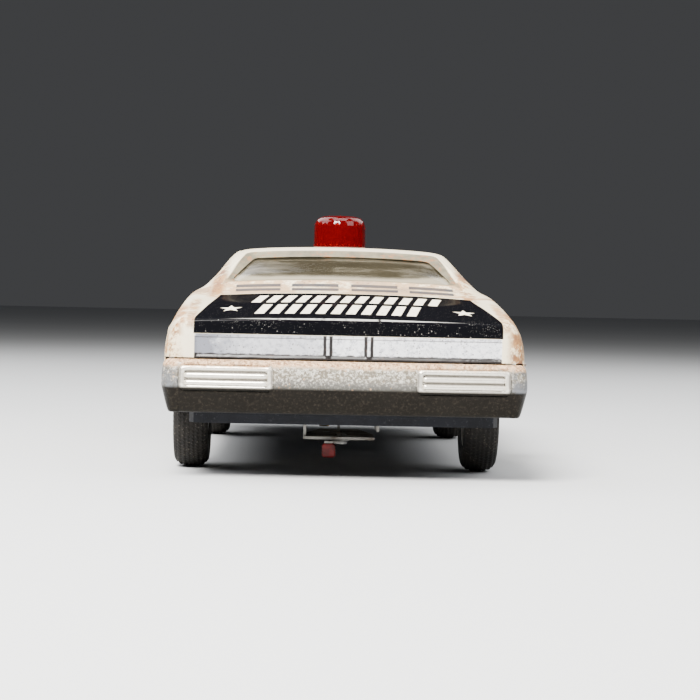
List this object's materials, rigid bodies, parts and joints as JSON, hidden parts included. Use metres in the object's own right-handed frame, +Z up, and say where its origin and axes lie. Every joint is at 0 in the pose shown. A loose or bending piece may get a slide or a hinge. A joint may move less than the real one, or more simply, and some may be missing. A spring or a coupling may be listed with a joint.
{
  "type": "clockwork toy car",
  "caption": "Clockwork tin patrol car: pressed body on a black pan, plated bumpers, red roof beacon, spring motor over the rear axle with a side key and a red stop lever.",
  "frame": {"origin": "on the floor, on the centre plane, half way between the two bumpers", "axes": "+X to the right of the car, +Y forward, +Z up"},
  "size_m": [0.1133, 0.278, 0.0807],
  "materials": {
    "cream_litho_tin": "printed and varnished, rust freckles on the edges",
    "black_tin": "satin black paint",
    "nickel_plating": "aged plating with pitting and rust along the edges",
    "clear_plastic": "clear, slightly yellowed and dusty",
    "cabin_plastic": "satin",
    "black_plastic": "semi-gloss",
    "white_plastic": "semi-gloss, yellowed",
    "red_plastic": "translucent, glossy, fluted",
    "tyre_rubber": "dusty, matte",
    "silver_tin": "silver paint",
    "brass": "stamped, lightly oiled",
    "blued_steel": "blued spring steel",
    "red_vinyl": "dipped vinyl, semi-gloss",
    "plated_steel": "dull zinc plating",
    "steel": "turned and lightly oiled"
  },
  "bodies": {
    "car": {"body_shell": "cream_litho_tin", "rear_window": "clear_plastic", "windscreen": "clear_plastic", "side_window_left": "clear_plastic", "side_window_right": "clear_plastic", "chassis_pan": "black_tin", "rear_bumper": "nickel_plating", "front_bumper": "nickel_plating", "grille": "nickel_plating", "interior_tray": "cabin_plastic", "rear_seat": "cabin_plastic", "front_seat": "cabin_plastic", "dashboard": "cabin_plastic", "steering_wheel": "black_plastic", "beacon_base": "white_plastic", "beacon_dome": "red_plastic", "beacon_rivet": "steel", "front_axle_bracket": "plated_steel", "bracket_rivets": "steel", "motor_frame": "plated_steel", "motor_plate_right": "plated_steel", "motor_pillars": "steel", "motor_rivets": "steel", "mainspring": "blued_steel", "lever_rivet": "steel"},
    "rear_wheels": {"rear_axle": "steel", "axle_pinion": "brass", "tyre_rear_left": "tyre_rubber", "tyre_rear_right": "tyre_rubber", "wheel_disc_rear_left": "silver_tin", "wheel_disc_rear_right": "silver_tin", "hubcap_rear_left": "nickel_plating", "hubcap_rear_right": "nickel_plating"},
    "front_wheels": {"front_axle": "steel", "tyre_front_left": "tyre_rubber", "tyre_front_right": "tyre_rubber", "wheel_disc_front_left": "silver_tin", "wheel_disc_front_right": "silver_tin", "hubcap_front_left": "nickel_plating", "hubcap_front_right": "nickel_plating"},
    "third_shaft": {"third_pinion": "steel", "third_wheel": "brass"},
    "second_shaft": {"second_pinion": "steel", "second_wheel": "brass"},
    "great_wheel_group": {"great_wheel": "brass", "click_spring": "steel"},
    "click_lever": {"click": "steel"},
    "winding_shaft": {"winding_arbor": "steel", "ratchet_wheel": "steel", "winding_key": "plated_steel"},
    "stop_lever_group": {"stop_lever": "plated_steel", "lever_tab": "red_vinyl"}
  },
  "joints": [
    {"name": "rear_axle_spin", "type": "hinge", "parent": "car", "child": "rear_wheels", "pos_m": [0, -0.087, 0.0175], "axis": [1, 0, 0], "continuous": true},
    {"name": "front_axle_spin", "type": "hinge", "parent": "car", "child": "front_wheels", "pos_m": [0, 0.066, 0.0175], "axis": [1, 0, 0], "continuous": true},
    {"name": "third_shaft_spin", "type": "hinge", "parent": "car", "child": "third_shaft", "pos_m": [0, -0.07781, 0.02521], "axis": [1, 0, 0], "continuous": true},
    {"name": "second_shaft_spin", "type": "hinge", "parent": "car", "child": "second_shaft", "pos_m": [0, -0.06639, 0.03143], "axis": [1, 0, 0], "continuous": true},
    {"name": "great_wheel_spin", "type": "hinge", "parent": "car", "child": "great_wheel_group", "pos_m": [0, -0.049, 0.032], "axis": [1, 0, 0], "continuous": true},
    {"name": "key_winding", "type": "hinge", "parent": "great_wheel_group", "child": "winding_shaft", "pos_m": [0, -0.049, 0.032], "axis": [1, 0, 0], "range_deg": [-2160, 0]},
    {"name": "click_lift", "type": "hinge", "parent": "great_wheel_group", "child": "click_lever", "pos_m": [0, -0.05877, 0.02844], "axis": [1, 0, 0], "range_deg": [0, 15], "stiffness_Nm_per_rad": 0.001},
    {"name": "stop_lever_throw", "type": "hinge", "parent": "car", "child": "stop_lever_group", "pos_m": [0, -0.095, 0.0094], "axis": [0, 0, 1], "range_deg": [0, 12.5]}
  ],
  "couplings": [
    {"joint": "third_shaft_spin", "follows": "rear_axle_spin", "ratio": -0.5},
    {"joint": "second_shaft_spin", "follows": "rear_axle_spin", "ratio": 0.11905},
    {"joint": "great_wheel_spin", "follows": "rear_axle_spin", "ratio": -0.024802}
  ]
}
